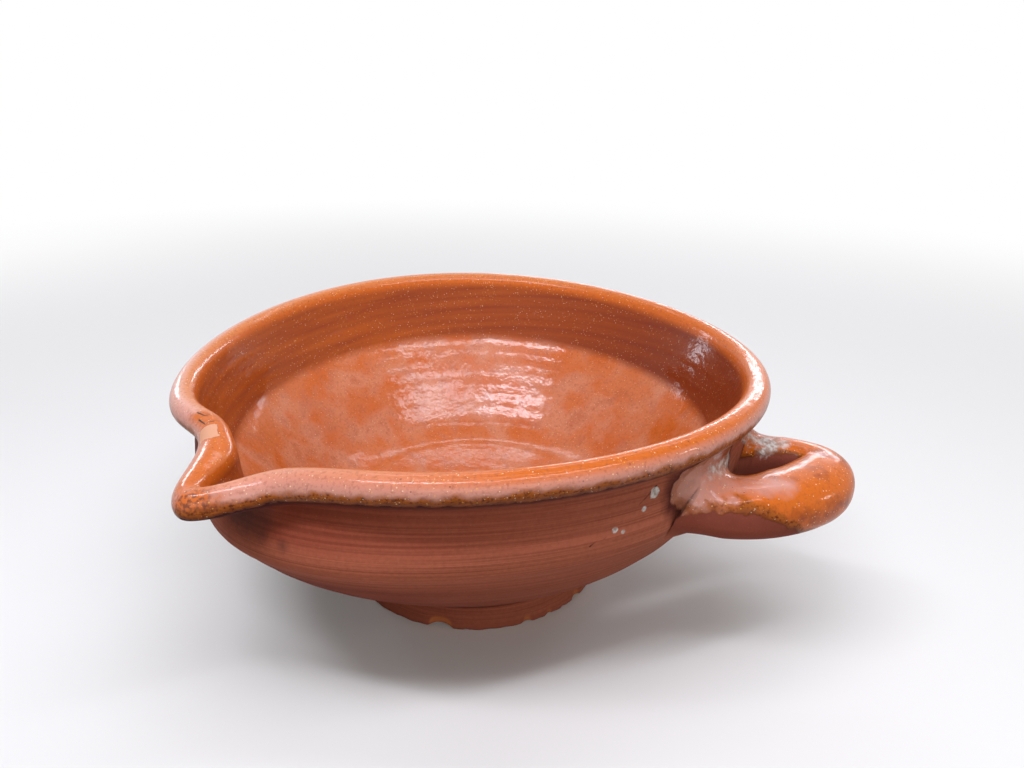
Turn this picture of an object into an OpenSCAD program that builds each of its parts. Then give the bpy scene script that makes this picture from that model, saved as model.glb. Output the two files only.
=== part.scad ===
// Terracotta dairy bowl, one fired piece of heavy earthenware.
// A wide bowl is thrown with a sloping floor, a sharp turn and a short upright wall under a rolled rim.
// While the clay is soft the rim is pulled out into a pouring lip, which leaves the mouth out of round,
// and one loop handle is laid against the wall, about a quarter turn round from the lip.
// Millimetres, +Z up. The origin is the centre of the foot's underside, and +X points to the handle.

/* [Rim] */
// Diameter over the rolled rim
rim_d = 320; // [300:1:340]
// Height of the rim's crest above the table, taken round the whole mouth
rim_h = 134; // [126:1:150]
// Thickness of the rolled rim
rim_roll = 13; // [11:0.5:17]
// How far down the wall the cove under the rolled rim reaches
rim_cove = 18; // [15:0.5:24]
// Width of the rim from its outside to the top of the inner wall
rim_w = 14.5; // [14:0.5:20]
// How far below the crest the inner wall begins
rim_in = 9; // [7:0.5:16]

/* [Wall and floor] */
// Diameter over the turn between the sloping base and the upright wall
turn_d = 298; // [286:1:302]
// Height of that turn
turn_h = 86; // [78:1:92]
// Length of the rounding at the turn, along each side
turn_round = 9; // [4:0.5:12]
// How far the upright wall is drawn in below the rim, measured from the rim's outside
wall_inset = 11; // [8:0.5:14]
// Diameter of the corner inside, where the floor meets the wall
corner_d = 262; // [250:1:268]
// Height of that corner
corner_h = 93; // [90:1:100]
// Length of the rounding in that corner, along each side
corner_round = 7; // [3:0.5:10]
// How far the sloping base swells outward between the foot and the turn
belly = 4.5; // [0:0.5:7]

/* [Floor] */
// Diameter of the soft ring where the floor's slope eases
dish_d = 170; // [150:2:190]
// Height of that ring
dish_h = 40; // [36:1:46]
// Length of the rounding at that ring, along each side
dish_round = 14; // [6:1:20]
// Height of the floor at its centre
floor_h = 28; // [22:1:32]

/* [Foot] */
// Diameter of the foot on the table
foot_d = 148; // [138:1:160]
// Height of the foot up to its waist
foot_h = 14; // [10:1:18]
// How much smaller the waist's radius is than the foot's
foot_waist = 2; // [0:0.5:4]

/* [Out of round] */
// How much longer and shorter the mouth's radius is than a circle's
oval = 2.5; // [0:0.5:5]
// Where round the mouth its radius is longest, in degrees from the handle
oval_at = 112; // [0:1:180]
// How far the rim rises and falls twice on its way round
saddle = 4.3; // [0:0.1:7]
// Where round the mouth it rises highest, in degrees from the handle
saddle_at = -46; // [-90:1:90]
// How far the rim leans up to one side
tilt = 3; // [0:0.5:5]
// The side that it leans up to, in degrees from the handle
tilt_at = -25; // [-180:1:180]

/* [Pouring lip] */
// Where the lip is, in degrees from the handle
lip_at = -100; // [-110:1:-80]
// How far the lip stands out past the round rim
lip_reach = 25; // [15:1:32]
// How far the lip is pushed down
lip_drop = 7; // [2:1:10]
// How far along the rim on either side of the lip that push down reaches
lip_drop_w = 32; // [24:2:60]
// How far the lip reaches along the rim on its left, seen from outside
lip_left = 26; // [18:1:30]
// How far it reaches on its right
lip_right = 16; // [12:1:22]
// How far the channel inside the lip reaches on its left
channel_left = 12; // [7:1:20]
// How far it reaches on its right
channel_right = 12; // [8:1:16]
// How far the rim was pinched in on the lip's left
pinch = 8; // [0:1:12]
// How far along the rim from the lip's middle the pinch lies
pinch_off = 46; // [36:1:56]
// How far along the rim the pinch reaches from there
pinch_half_w = 28; // [22:1:36]
// How far the wall below the lip was pushed out
push = 12; // [0:0.5:14]
// How far from the lip's middle that push fades away, along the wall
push_half_w = 75; // [60:5:100]

/* [Handle] */
// How far the handle stands out past the upright wall
handle_reach = 58; // [48:1:64]
// Where round the wall the middle of the thick root is, in degrees from +X
handle_front = -18; // [-20:0.5:-15]
// Where the middle of the thin root is
handle_back = 4; // [2:0.5:8]
// How far the loop slants back as it leaves the thick root, in degrees
handle_slant = 24; // [10:1:30]
// Thickness of the loop seen from above, from its front root to its tip
handle_w = 34; // [28:1:38]
// Thickness of its other root
handle_back_w = 20; // [16:1:26]
// Height of the loop
handle_t = 27; // [22:1:34]
// Height of its other root
handle_back_t = 22; // [18:1:30]
// Height of the middle of the loop's tip above the table
handle_h = 93; // [88:1:98]
// How much higher the thick root is than the tip
handle_rise = 5; // [0:1:8]
// How much higher the other root is than the tip
handle_back_rise = 2; // [0:1:8]
// How much wider the loop spreads on each side where it is pressed onto the wall
handle_spread = 8; // [4:1:9]
// How much higher and lower it spreads there
handle_flare = 4; // [2:1:6]

/* [Hidden] */

rim_r = rim_d / 2;
roll_r = rim_roll / 2;
wall_r = rim_r - wall_inset;

// How much wider the body is than the foot's waist, so that the two cross cleanly
overlap = 1.5;

// Points of the section: radius, height, and 0 on the outside or 1 on the inside
waist = [foot_d / 2 - foot_waist + overlap, foot_h, 0];
turn = [turn_d / 2, turn_h, 0];
wall_top = [wall_r, rim_h - rim_cove, 0];
roll_mid = [rim_r - roll_r, rim_h - roll_r, 0];
corner = [corner_d / 2, corner_h, 1];
dish = [dish_d / 2, dish_h, 1];
middle = [0, floor_h, 1];

// The body starts this far inside the foot, so that the two are one solid
seat_in = 10;
seat_up = 5;

// Where the rim's roll begins, in degrees below level, and how far round it goes
roll_start = -55;
roll_turn = 210;

// How far below the crest the hand's pull on the lip begins and is whole, outside and inside
pull_out = [26, 11];
pull_in = [34, 3];

// How far up the sloping base its swell gathers: 1 is half way, and more is nearer the turn
belly_high = 1.5;

// Height of the foot's upright edge
foot_edge = 3;

// Chips broken out of the foot's edge: degrees from the handle, length along the edge, and depth
foot_chips = [[-77, 15, 3.2], [-40, 7, 1.3], [-29, 6, 1.1], [-12, 9, 1.6], [66, 12, 2.2], [158, 16, 2.6]];

// Steps round the bowl and along its section, and round and along the handle
round_steps = 92;
slope_steps = 7;
turn_steps = 4;
roll_steps = 9;
head_steps = 2;
wall_steps = 4;
inner_steps = 5;
floor_steps = 5;
loop_steps = 28;
loop_sides = 16;

// How much closer the steps round the bowl lie at the lip, from 0 to under 1
crowding = 0.68;

// Curves used by the section and the loop

function mix(p, q, t) = p + (q - p) * t;

// Points on a curve that leaves p toward the corner c and comes in to q, without its first point
function bend(p, c, q, steps) =
    [for (i = [1:steps]) let (t = i / steps) mix(mix(p, c, t), mix(c, q, t), t)];

// A point at a distance from p on the way to q
function along(p, q, distance) = p + (q - p) * distance / norm(q - p);

// 0 below the start, 1 above the end and an even rise between them
function ease(start, end, value) =
    let (t = min(1, max(0, (value - start) / (end - start)))) t * t * (3 - 2 * t);

// 1 at the middle, falling away on both sides over about the given reach
function swell(distance, reach) = exp(-pow(distance / reach, 2));

// The difference between two angles, from -180 to 180
function turn_between(a, b) = ((a - b + 540) % 360) - 180;

// The bowl's section as it was thrown: radius and height, up the outside and down the inside

slope_in = along(turn, waist, turn_round);
slope_out = along(turn, wall_top, turn_round);

function base_slope() = [
    for (i = [0:slope_steps])
        let (t = i / slope_steps)
        mix(waist, slope_in, t) + [belly, -belly, 0] * sin(180 * pow(t, belly_high)) / sqrt(2)
];

function rolled_rim() = [
    for (i = [0:roll_steps])
        let (angle = roll_start + i * roll_turn / roll_steps)
        roll_mid + roll_r * [cos(angle), sin(angle), 0] + [0, 0, ease(0, roll_steps, i)]
];

wall_head = [rim_r - rim_w, rim_h - rim_in, 1];
wall_foot = along(corner, wall_head, corner_round);
floor_edge = along(corner, dish, corner_round);
floor_end = along(dish, corner, dish_round);
dish_edge = along(dish, middle, dish_round);

function inner_wall() = concat(
    [for (i = [1:head_steps]) mix(rolled_rim()[roll_steps], wall_head, i / head_steps)],
    [for (i = [1:inner_steps]) mix(wall_head, wall_foot, i / inner_steps)]
);

function floor_slope() = concat(
    [for (i = [1:slope_steps]) mix(floor_edge, floor_end, i / slope_steps)],
    bend(floor_end, dish, dish_edge, turn_steps)
);

function floor_dish() = [
    for (i = [1:floor_steps - 1])
        let (t = 1 - i / floor_steps)
        [dish_edge[0] * t, mix(floor_h, dish_edge[1], t * t), 1]
];

thrown = concat(
    [[waist[0] - seat_in, seat_up, 0]],
    base_slope(),
    bend(slope_in, turn, slope_out, turn_steps),
    [for (i = [1:wall_steps]) mix(slope_out, wall_top, i / wall_steps)],
    rolled_rim(),
    inner_wall(),
    bend(wall_foot, corner, floor_edge, turn_steps),
    floor_slope(),
    floor_dish()
);

// What the hands did to the thrown bowl

// Degrees round the rim that a length along it covers
function degrees(length) = length / rim_r * 180 / PI;

// The rim's way round, as heights above and below the round pot's
function lean(angle) = saddle * cos(2 * (angle - saddle_at)) + tilt * cos(angle - tilt_at);

// How far a point of the section follows the lip: all the way at the rim and not at all on the wall
function drawn(p) = mix(
    ease(rim_h - pull_out[0], rim_h - pull_out[1], p[1]),
    ease(rim_h - pull_in[0], rim_h - pull_in[1], p[1]),
    p[2]
);

// The lip's reach along the rim on the side that the offset is on, narrowing to its channel inside
function lip_width(off, inside) =
    off < 0 ? mix(lip_left, channel_left, inside) : mix(lip_right, channel_right, inside);

// A point of the section at that angle round the bowl, after the handling: radius and height
function moved(angle, p) =
    let (
        off = turn_between(angle, lip_at),
        low = p[1] / rim_h,
        out = p[0] / rim_r,
        high = drawn(p),
        lip = high * swell(off, degrees(lip_width(off, p[2]))),
        sunk = high * swell(off, degrees(lip_drop_w)),
        squeezed = mix(ease(turn_h - turn_round, rim_h - rim_roll, p[1]), high, p[2]),
        nip = pinch * squeezed * swell(off + degrees(pinch_off), degrees(pinch_half_w)),
        shoved = ease(0, turn_h, p[1]) * (1 - ease(turn_h, rim_h, p[1])),
        shove = push * shoved * swell(off, degrees(push_half_w))
    )
    [
        p[0] + oval * cos(2 * (angle - oval_at)) * low * out
            + lip_reach * lip - nip + shove * out,
        p[1] + lean(angle) * low * out - lip_drop * sunk
    ];

function placed(angle, p) = [p[0] * cos(angle), p[0] * sin(angle), p[1]];

// Angles round the bowl, closer together at the lip
function step_angle(i) =
    let (t = i / round_steps - 0.5)
    lip_at + 360 * t - crowding * sin(360 * t) * 180 / PI;

// Two triangles between neighbouring columns and rows of a grid whose rows are that many points long
function patch(i, j, next_i, next_j, row) = [
    [i * row + j, i * row + next_j, next_i * row + j],
    [next_i * row + j, i * row + next_j, next_i * row + next_j]
];

module thrown_body() {
    n = len(thrown);
    rings = [
        for (i = [0:round_steps - 1])
            let (angle = step_angle(i))
            for (p = thrown) placed(angle, moved(angle, p))
    ];
    poles = [[0, 0, seat_up], [0, 0, floor_h]];
    below = len(rings);
    faces = [
        for (i = [0:round_steps - 1])
            let (next = (i + 1) % round_steps)
            each concat(
                [for (k = [0:n - 2]) each patch(i, k, next, k + 1, n)],
                [[below, i * n, next * n]],
                [[below + 1, next * n + n - 1, i * n + n - 1]]
            )
    ];
    color("peru") polyhedron(points = concat(rings, poles), faces = faces);
}

// A ball whose cap takes that length and depth out of the foot's edge, from below and outside
module chip(at, length, depth) {
    ball_r = (length * length / 4 + depth * depth) / (2 * depth);
    away = (ball_r - depth) / sqrt(2);
    rotate([0, 0, at])
        translate([foot_d / 2 + away, 0, -away])
            sphere(r = ball_r, $fn = 20);
}

// The foot: a low flat disc, a little wider on the table than at its waist, with a worn edge
module foot() {
    foot_r = foot_d / 2;
    color("sienna")
        difference() {
            rotate_extrude($fn = 120)
                polygon([
                    [0, 0], [foot_r, 0], [foot_r, foot_edge], [foot_r - foot_waist, foot_h], [0, foot_h]
                ]);
            for (c = foot_chips) chip(c[0], c[1], c[2]);
        }
}

// The loop handle: a rounded oblong swept along a curve that leaves the wall at the thick root,
// swings out and comes back to the wall at the thin one

// How far the loop's ends reach into the wall
root_in = 6;

// The wall's radius at the height of the loop, on its way from the turn to its top
loop_up = (handle_h - turn[1]) / (wall_top[1] - turn[1]);
loop_wall_r = mix(turn[0], wall_top[0], loop_up);

root_r = loop_wall_r - root_in;
arch = handle_reach - handle_w / 2 + loop_wall_r - root_r;

// How hard the curve pulls away at either root, as shares of its reach, and how far round it swings
front_stretch = 0.8;
front_swing = 12;
back_stretch = 1.93;

// Where along the loop it starts to thin and is thinnest
slim_from = 0.45;
slim_to = 0.95;

// How sharply the roots spread, how far they lean with the wall, and how square the section is
root_power = 10;
wall_lean = 0.2;
squareness = 0.85;

function heading(angle) = [cos(angle), sin(angle)];

front_root = root_r * heading(handle_front);
back_root = root_r * heading(handle_back);
front_pull = front_root + front_stretch * arch * heading(handle_front + front_swing);
back_pull = back_root + back_stretch * arch * heading(handle_slant);

function loop_plan(t) =
    pow(1 - t, 3) * front_root + 3 * pow(1 - t, 2) * t * front_pull
        + 3 * (1 - t) * pow(t, 2) * back_pull + pow(t, 3) * back_root;

// 1 at either root and 0 half way along the loop
function rootward(t) = abs(2 * t - 1);

function loop_height(t) =
    handle_h + (t < 0.5 ? handle_rise : handle_back_rise) * pow(rootward(t), 2);

// Half the loop's width and half its height
function loop_size(t) =
    let (root = pow(rootward(t), root_power), slim = ease(slim_from, slim_to, t))
    [
        mix(handle_w, handle_back_w, slim) / 2 + handle_spread * root,
        mix(handle_t, handle_back_t, slim) / 2 + handle_flare * root
    ];

function oblong(angle) = [
    sign(cos(angle)) * pow(abs(cos(angle)), squareness),
    sign(sin(angle)) * pow(abs(sin(angle)), squareness)
];

function loop_ring(t) =
    let (
        ahead = loop_plan(min(1, t + 0.01)) - loop_plan(max(0, t - 0.01)),
        side = [ahead[1], -ahead[0]] / norm(ahead),
        outward = loop_plan(t) / norm(loop_plan(t)),
        leaning = wall_lean * pow(rootward(t), root_power),
        size = loop_size(t)
    )
    [
        for (j = [0:loop_sides - 1])
            let (o = oblong(360 * j / loop_sides), up = size[1] * o[1])
            [each loop_plan(t) + side * size[0] * o[0] + outward * leaning * up, loop_height(t) + up]
    ];

module handle() {
    ring_points = [for (i = [0:loop_steps]) each loop_ring(i / loop_steps)];
    last = loop_steps * loop_sides;
    sides = [
        for (i = [0:loop_steps - 1])
            for (j = [0:loop_sides - 1])
                each patch(i, j, i + 1, (j + 1) % loop_sides, loop_sides)
    ];
    ends = [
        [for (j = [0:loop_sides - 1]) loop_sides - 1 - j],
        [for (j = [0:loop_sides - 1]) last + j]
    ];
    color("chocolate") polyhedron(points = ring_points, faces = concat(sides, ends));
}

module bowl() {
    thrown_body();
    foot();
    handle();
}

bowl();
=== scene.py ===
# %% [markdown]
# # A terracotta dairy bowl
# The real bowl is one piece of heavy red earthenware. A potter threw it on the wheel, drew the soft rim
# out into a pouring lip, pressed a loop handle onto the wall, and poured a lead glaze round the inside.
# This lesson gives the plain solid bowl its fine surface, its glaze and its bare clay, one step at a time.

# %% Tools, and the solid bowl as the frame
import math

import bpy
import numpy as np
from mathutils import Matrix, Vector
from mathutils.kdtree import KDTree


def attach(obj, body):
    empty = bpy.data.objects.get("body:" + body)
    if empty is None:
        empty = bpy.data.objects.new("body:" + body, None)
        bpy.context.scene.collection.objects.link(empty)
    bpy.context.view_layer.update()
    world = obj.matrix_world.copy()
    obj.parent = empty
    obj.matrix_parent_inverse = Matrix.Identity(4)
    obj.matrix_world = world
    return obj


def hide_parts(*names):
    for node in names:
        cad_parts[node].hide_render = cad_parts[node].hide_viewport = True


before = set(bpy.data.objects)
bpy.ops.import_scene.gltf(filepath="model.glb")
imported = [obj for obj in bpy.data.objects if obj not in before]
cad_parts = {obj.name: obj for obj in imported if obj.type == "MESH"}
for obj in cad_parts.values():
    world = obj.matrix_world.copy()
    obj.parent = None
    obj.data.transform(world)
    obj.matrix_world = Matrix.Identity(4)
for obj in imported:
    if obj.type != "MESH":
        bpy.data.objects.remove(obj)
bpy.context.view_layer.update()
MM = 0.001

# %% [markdown]
# ## The camera
# The camera stands where the photographer stood: in front of the lip's side, above the table, looking
# down into the bowl. Its place is given in millimetres from the middle of the foot, as the bowl is.

# %% The camera
CAMERA_AT = (195.98, -368.58, 282.4)
CAMERA_AHEAD = (-0.3926, 0.8380, -0.3791)
CAMERA_RIGHT = (0.9034, 0.4287, 0.0122)
CAMERA_LENS = 28.125
# Millimetres from the camera where it begins to see
NEAREST_SEEN = 10

scene = bpy.context.scene
scene.view_settings.view_transform = "Standard"


def aimed(place, ahead, right):
    """The matrix of a camera or lamp at that place in millimetres, with its X axis to the right."""
    back = -Vector(ahead).normalized()
    across = Vector(right)
    across = (across - back * across.dot(back)).normalized()
    turn = Matrix((across, back.cross(across), back)).transposed()
    return Matrix.Translation(Vector(place) * MM) @ turn.to_4x4()


camera = bpy.data.objects.new("camera", bpy.data.cameras.new("camera"))
camera.data.lens = CAMERA_LENS
camera.data.clip_start = NEAREST_SEEN * MM
camera.matrix_world = aimed(CAMERA_AT, CAMERA_AHEAD, CAMERA_RIGHT)
scene.collection.objects.link(camera)
scene.camera = camera
print("Camera", round(math.dist(CAMERA_AT, (0, 0, 0))), "mm from the foot")

# %% [markdown]
# ## Nodes in one line each
# A material is a tree of nodes. One small function adds a node, sets it and links it, and hands back the
# node's output. Colours are written as the hex values that a painting program shows, and are turned to
# the linear values that light adds up in.


# %% A node, a colour and a pattern's scale
def add(tree, kind, sockets=None, **settings):
    """Adds a node with its settings. sockets gives inputs, by name or number, a value or another output."""
    node = tree.nodes.new("ShaderNode" + kind)
    for name, value in settings.items():
        setattr(node, name, value)
    for key, value in (sockets or {}).items():
        named = [s for s in node.inputs if s.enabled and s.name == key]
        socket = named[0] if named else node.inputs[key]
        if isinstance(value, bpy.types.NodeSocket):
            tree.links.new(value, socket)
        else:
            socket.default_value = value
    shown = [s for s in node.outputs if s.enabled]
    return shown[0] if shown else None


def colour(code):
    """A hex sRGB colour as linear red, green, blue and alpha."""
    parts = [int(code[i : i + 2], 16) / 255 for i in (1, 3, 5)]
    return [c / 12.92 if c <= 0.04045 else ((c + 0.055) / 1.055) ** 2.4 for c in parts] + [1]


def every(millimetres):
    """The scale at which a pattern repeats about every so many millimetres."""
    return 1 / (millimetres * MM)


WHITE = "#ffffff"


def new_material(name):
    """A material with an empty tree, and that tree."""
    material = bpy.data.materials.new(name)
    material.use_nodes = True
    material.node_tree.nodes.clear()
    return material, material.node_tree


# %% [markdown]
# ## The stage
# A plain pale floor and a white surround. The floor fades to white far from the bowl, so that no horizon
# shows. A backdrop could be modelled and lit, but it would need strong lamps to look white. Here the
# surround is simply white to the camera and in mirrors, and sends out little light of its own, so that
# the lamps shape the bowl and its shadow stays on the floor.

# %% The floor
FLOOR_SIZE = 24000
# Millimetres from the bowl where the floor begins to fade, and where it is white
FADE_FROM, FADE_TO = 400, 1350
# The paint for the light that bounces off it onto the bowl, and as it is seen
PAINT_LIT, PAINT_SEEN = "#8d8781", "#e7e3de"


def seen_directly(tree):
    """1 for what the camera sees, also in a mirror or through glass, and 0 for light that only bounces."""
    path = add(tree, "LightPath").node.outputs
    seen = add(tree, "Math", {0: path["Is Camera Ray"], 1: path["Is Glossy Ray"]}, operation="MAXIMUM")
    return add(tree, "Math", {0: seen, 1: path["Is Transmission Ray"]}, operation="MAXIMUM")


def floor_paint():
    """Matt pale paint that keeps the bowl's shadow near it and turns to plain white further off."""
    material, tree = new_material("matt studio paint")
    seen = seen_directly(tree)
    shades = {"Factor": seen, "A": colour(PAINT_LIT), "B": colour(PAINT_SEEN)}
    paint = add(tree, "Mix", shades, data_type="RGBA")
    place = add(tree, "TexCoord").node.outputs["Object"]
    away = add(tree, "VectorMath", {0: place}, operation="LENGTH").node.outputs["Value"]
    limits = {"Value": away, "From Min": FADE_FROM * MM, "From Max": FADE_TO * MM}
    fade = add(tree, "MapRange", limits, interpolation_type="SMOOTHSTEP")
    fade = add(tree, "Math", {0: fade, 1: seen}, operation="MULTIPLY")
    matt = add(tree, "BsdfPrincipled", {"Base Color": paint, "Roughness": 0.9, "Specular IOR Level": 0.2})
    white = add(tree, "Emission", {"Color": colour(WHITE), "Strength": 1.0})
    both = add(tree, "MixShader", {0: fade, 1: matt, 2: white})
    add(tree, "OutputMaterial", {"Surface": both})
    return material


half = FLOOR_SIZE / 2 * MM
floor_mesh = bpy.data.meshes.new("floor")
floor_mesh.from_pydata(
    [(-half, -half, 0), (half, -half, 0), (half, half, 0), (-half, half, 0)], [], [(0, 1, 2, 3)]
)
floor = bpy.data.objects.new("floor", floor_mesh)
floor_mesh.materials.append(floor_paint())
scene.collection.objects.link(floor)
print("Floor", FLOOR_SIZE, "mm wide, white from", FADE_TO, "mm")

# %% The white surround
# How bright the surround is for the light that falls on the bowl, where 1 is white
SURROUND_LIGHT = 0.22

world = bpy.data.worlds.new("white surround")
scene.world = world
world.use_nodes = True
tree = world.node_tree
tree.nodes.clear()
strength = add(tree, "Mix", {"Factor": seen_directly(tree), "A": SURROUND_LIGHT, "B": 1.0}, data_type="FLOAT")
surround = add(tree, "Background", {"Color": colour(WHITE), "Strength": strength})
add(tree, "OutputWorld", {"Surface": surround})
print("A white surround that lights at", SURROUND_LIGHT)

# %% [markdown]
# ## The light
# A glaze is a dark mirror: what makes it look wet is the picture of the lamps in it. Narrow, bright soft
# boxes give crisp streaks and leave the colour between them alone, where one wide box would veil it all.
# The long box over the front of the table comes in two parts on an arc, so that its mirror image breaks
# into bands on the bowl's floor. A wide dim halo above it softens their edges, and a strip overhead draws
# a line on the rim. Two boxes at the back, one high and one low, mark the far rim and the back of the lip,
# and the front box lights the bare clay. The window and the side lamp stand low, so that the bowl's own
# wall hides them from its floor: the one puts a streak on the lip, and the other a spark on the handle.


# %% The soft boxes
# A clear sky is a little blue, and so are its mirror images in the glaze
COOL = "#eef3ff"
# Points that the boxes face, in millimetres from the middle of the foot
LOW_IN_BOWL, NEAR_RIM, NEAR_LIP = (0, 0, 60), (0, 0, 100), (-28, -180, 120)


def soft_box(name, place, toward, wide, high, brightness, tint=COOL, along=CAMERA_RIGHT):
    """A rectangular lamp in millimetres. brightness is what its face shows, where 1 is white."""
    lamp = bpy.data.lights.new(name, "AREA")
    lamp.shape = "RECTANGLE"
    lamp.size, lamp.size_y = wide * MM, high * MM
    lamp.color = colour(tint)[:3]
    lamp.energy = brightness * math.pi * lamp.size * lamp.size_y
    box = bpy.data.objects.new(name, lamp)
    ahead = Vector(toward) - Vector(place)
    # A box that shines down lies with its long side along the given way, and a low one stands upright
    shines_down = abs(ahead.normalized().z) > 0.5
    box.matrix_world = aimed(place, ahead, along if shines_down else ahead.cross(Vector((0, 0, 1))))
    box.visible_camera = False
    scene.collection.objects.link(box)


soft_box("long soft box", (-92, -600, 1100), LOW_IN_BOWL, 740, 93, 34.0, along=(0.99, 0.11, 0))
soft_box("long soft box end", (560, -215, 1100), LOW_IN_BOWL, 820, 93, 16.0, along=(0.67, 0.75, 0))
soft_box("halo soft box", (190, -520, 1280), LOW_IN_BOWL, 1500, 420, 2.0)
soft_box("zenith strip", (20, -60, 1350), LOW_IN_BOWL, 1000, 60, 11.0)
soft_box("back soft box", (-202, 756, 1038), LOW_IN_BOWL, 1300, 80, 8.0)
soft_box("low back soft box", (-150, 1980, 630), NEAR_RIM, 1500, 130, 20.0)
soft_box("front soft box", (800, -1060, 520), LOW_IN_BOWL, 1700, 460, 2.1, WHITE)
soft_box("window soft box", (-1239, 464, 390), NEAR_LIP, 200, 200, 13.0)
soft_box("side lamp", (1760, 540, 540), NEAR_RIM, 110, 170, 30.0, WHITE)

# %% [markdown]
# ## The thrown section
# A pot is a section turned round its axis. Each point of the section is its radius, its height, and
# whether it is outside (0) or inside (1) the pot. The section starts under the foot, climbs the outside,
# rolls over the rim and comes down the inside to the middle of the floor. A Screw modifier could turn a
# drawn line in the same way, but the next step moves every point by its place on the pot, and that is
# easier on arrays of numbers. Points lie closer together where the section bends sharply.

# %% Sizes of the thrown section, in millimetres
# The rim's radius and height, the thickness of its roll, how far down the cove under it reaches, how wide
# it is and how far down the inner wall begins
RIM_R, RIM_H, RIM_ROLL, RIM_COVE, RIM_W, RIM_IN = 160, 134, 13, 18, 14.5, 9
# The roll goes from so many degrees over level, under it where negative, and so many round
ROLL_START, ROLL_TURN, ROLL_POINTS = -55, 210, 30
# The turn outside, the corner inside and the ring where the floor's slope eases: radius, height, rounding
TURN_R, TURN_H, TURN_ROUND = 149, 86, 9
CORNER_R, CORNER_H, CORNER_ROUND = 131, 93, 7
DISH_R, DISH_H, DISH_ROUND, FLOOR_H = 85, 40, 14, 28
# How far the wall stands in from the rim, how far the sloping base swells out, and how high up
WALL_INSET, BELLY, BELLY_HIGH = 11, 4.5, 1.5
FOOT_R, FOOT_H, FOOT_WAIST, FOOT_ROUND = 74, 14, 2, 1.6
# The grid's smallest rings, round the middle of the underside and of the floor
UNDER_POLE_R, FLOOR_POLE_R, DISH_POINTS = 4, 3, 26


def mix(p, q, t):
    return p + (q - p) * t


def ease(start, end, value):
    """0 below the start, 1 above the end and an even rise between them."""
    t = np.clip((value - start) / (end - start), 0, 1)
    return t * t * (3 - 2 * t)


def swell(distance, reach):
    """1 at the middle, falling away on both sides over about the given reach."""
    return np.exp(-((distance / reach) ** 2))


def point(radius, height, side=0):
    return np.array([radius, height, side], float)


def straight(p, q, gap):
    """Points from p to q, about a gap apart, without p."""
    steps = max(1, round(np.linalg.norm((q - p)[:2]) / gap))
    return [mix(p, q, i / steps) for i in range(1, steps + 1)]


def bend(p, corner, q, gap):
    """Points on a curve that leaves p toward the corner and comes in to q, without p."""
    steps = max(2, round(np.linalg.norm((q - p)[:2]) / gap))
    return [mix(mix(p, corner, i / steps), mix(corner, q, i / steps), i / steps) for i in range(1, steps + 1)]


def along(p, q, distance):
    return p + (q - p) * distance / np.linalg.norm(q - p)


# %% The section's points
def thrown_section():
    """The whole section as an array of points, and the number of the one on the rim's crest."""
    roll_r = RIM_ROLL / 2
    wall_r = RIM_R - WALL_INSET
    under, edge = point(FOOT_R - FOOT_ROUND, 0), point(FOOT_R, FOOT_ROUND)
    # The foot meets the slope in a soft groove, whose corner lies between these two points
    foot_top, waist = point(FOOT_R - FOOT_WAIST, FOOT_H - 2), point(FOOT_R + 1, FOOT_H + 1.5)
    groove = point(FOOT_R - FOOT_WAIST, FOOT_H + 0.5)
    turn, wall_top = point(TURN_R, TURN_H), point(wall_r, RIM_H - RIM_COVE)
    slope_in, slope_out = along(turn, waist, TURN_ROUND), along(turn, wall_top, TURN_ROUND)
    roll_mid = point(RIM_R - roll_r, RIM_H - roll_r)

    section = [point(UNDER_POLE_R, 0)] + straight(point(UNDER_POLE_R, 0), under, 3.6)
    section += bend(under, point(FOOT_R, 0), edge, 0.7) + straight(edge, foot_top, 1.5)
    section += bend(foot_top, groove, waist, 1.0)
    slope = straight(waist, slope_in, 2.6)
    for i, p in enumerate(slope):
        up = ((i + 1) / len(slope)) ** BELLY_HIGH
        section.append(p + point(BELLY, -BELLY) * math.sin(math.pi * up) / math.sqrt(2))
    section += bend(slope_in, turn, slope_out, 1.9) + straight(slope_out, wall_top, 2.2)
    roll = []
    for turned in np.linspace(0, 1, ROLL_POINTS):
        angle = math.radians(ROLL_START + ROLL_TURN * turned)
        inward = point(0, 0, ease(0, 1, turned))
        roll.append(roll_mid + roll_r * point(math.cos(angle), math.sin(angle)) + inward)
    section += straight(wall_top, roll[0], 1.5)[:-1] + roll
    wall_head = point(RIM_R - RIM_W, RIM_H - RIM_IN, 1)
    corner, dish = point(CORNER_R, CORNER_H, 1), point(DISH_R, DISH_H, 1)
    wall_foot, floor_edge = along(corner, wall_head, CORNER_ROUND), along(corner, dish, CORNER_ROUND)
    floor_end, dish_edge = along(dish, corner, DISH_ROUND), along(dish, point(0, FLOOR_H, 1), DISH_ROUND)
    section += straight(roll[-1], wall_head, 1.6) + straight(wall_head, wall_foot, 2.0)
    section += bend(wall_foot, corner, floor_edge, 1.7) + straight(floor_edge, floor_end, 2.2)
    section += bend(floor_end, dish, dish_edge, 2.2)
    for radius in np.linspace(dish_edge[0], FLOOR_POLE_R, DISH_POINTS)[1:]:
        section.append(point(radius, mix(FLOOR_H, dish_edge[1], (radius / dish_edge[0]) ** 2), 1))
    section = np.array(section)
    return section, int(np.argmax(section[:, 1]))


section, crest = thrown_section()
steps = np.linalg.norm(np.diff(section[:, :2], axis=0), axis=1)
arc = np.concatenate([[0], np.cumsum(steps)])
arc -= arc[crest]


def arc_at(radius, height):
    """How far past the crest the inside of the section comes nearest to that radius and height."""
    gap = np.hypot(section[:, 0] - radius, section[:, 1] - height)
    return arc[np.argmin(np.where(section[:, 2] > 0.5, gap, np.inf))]


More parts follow.
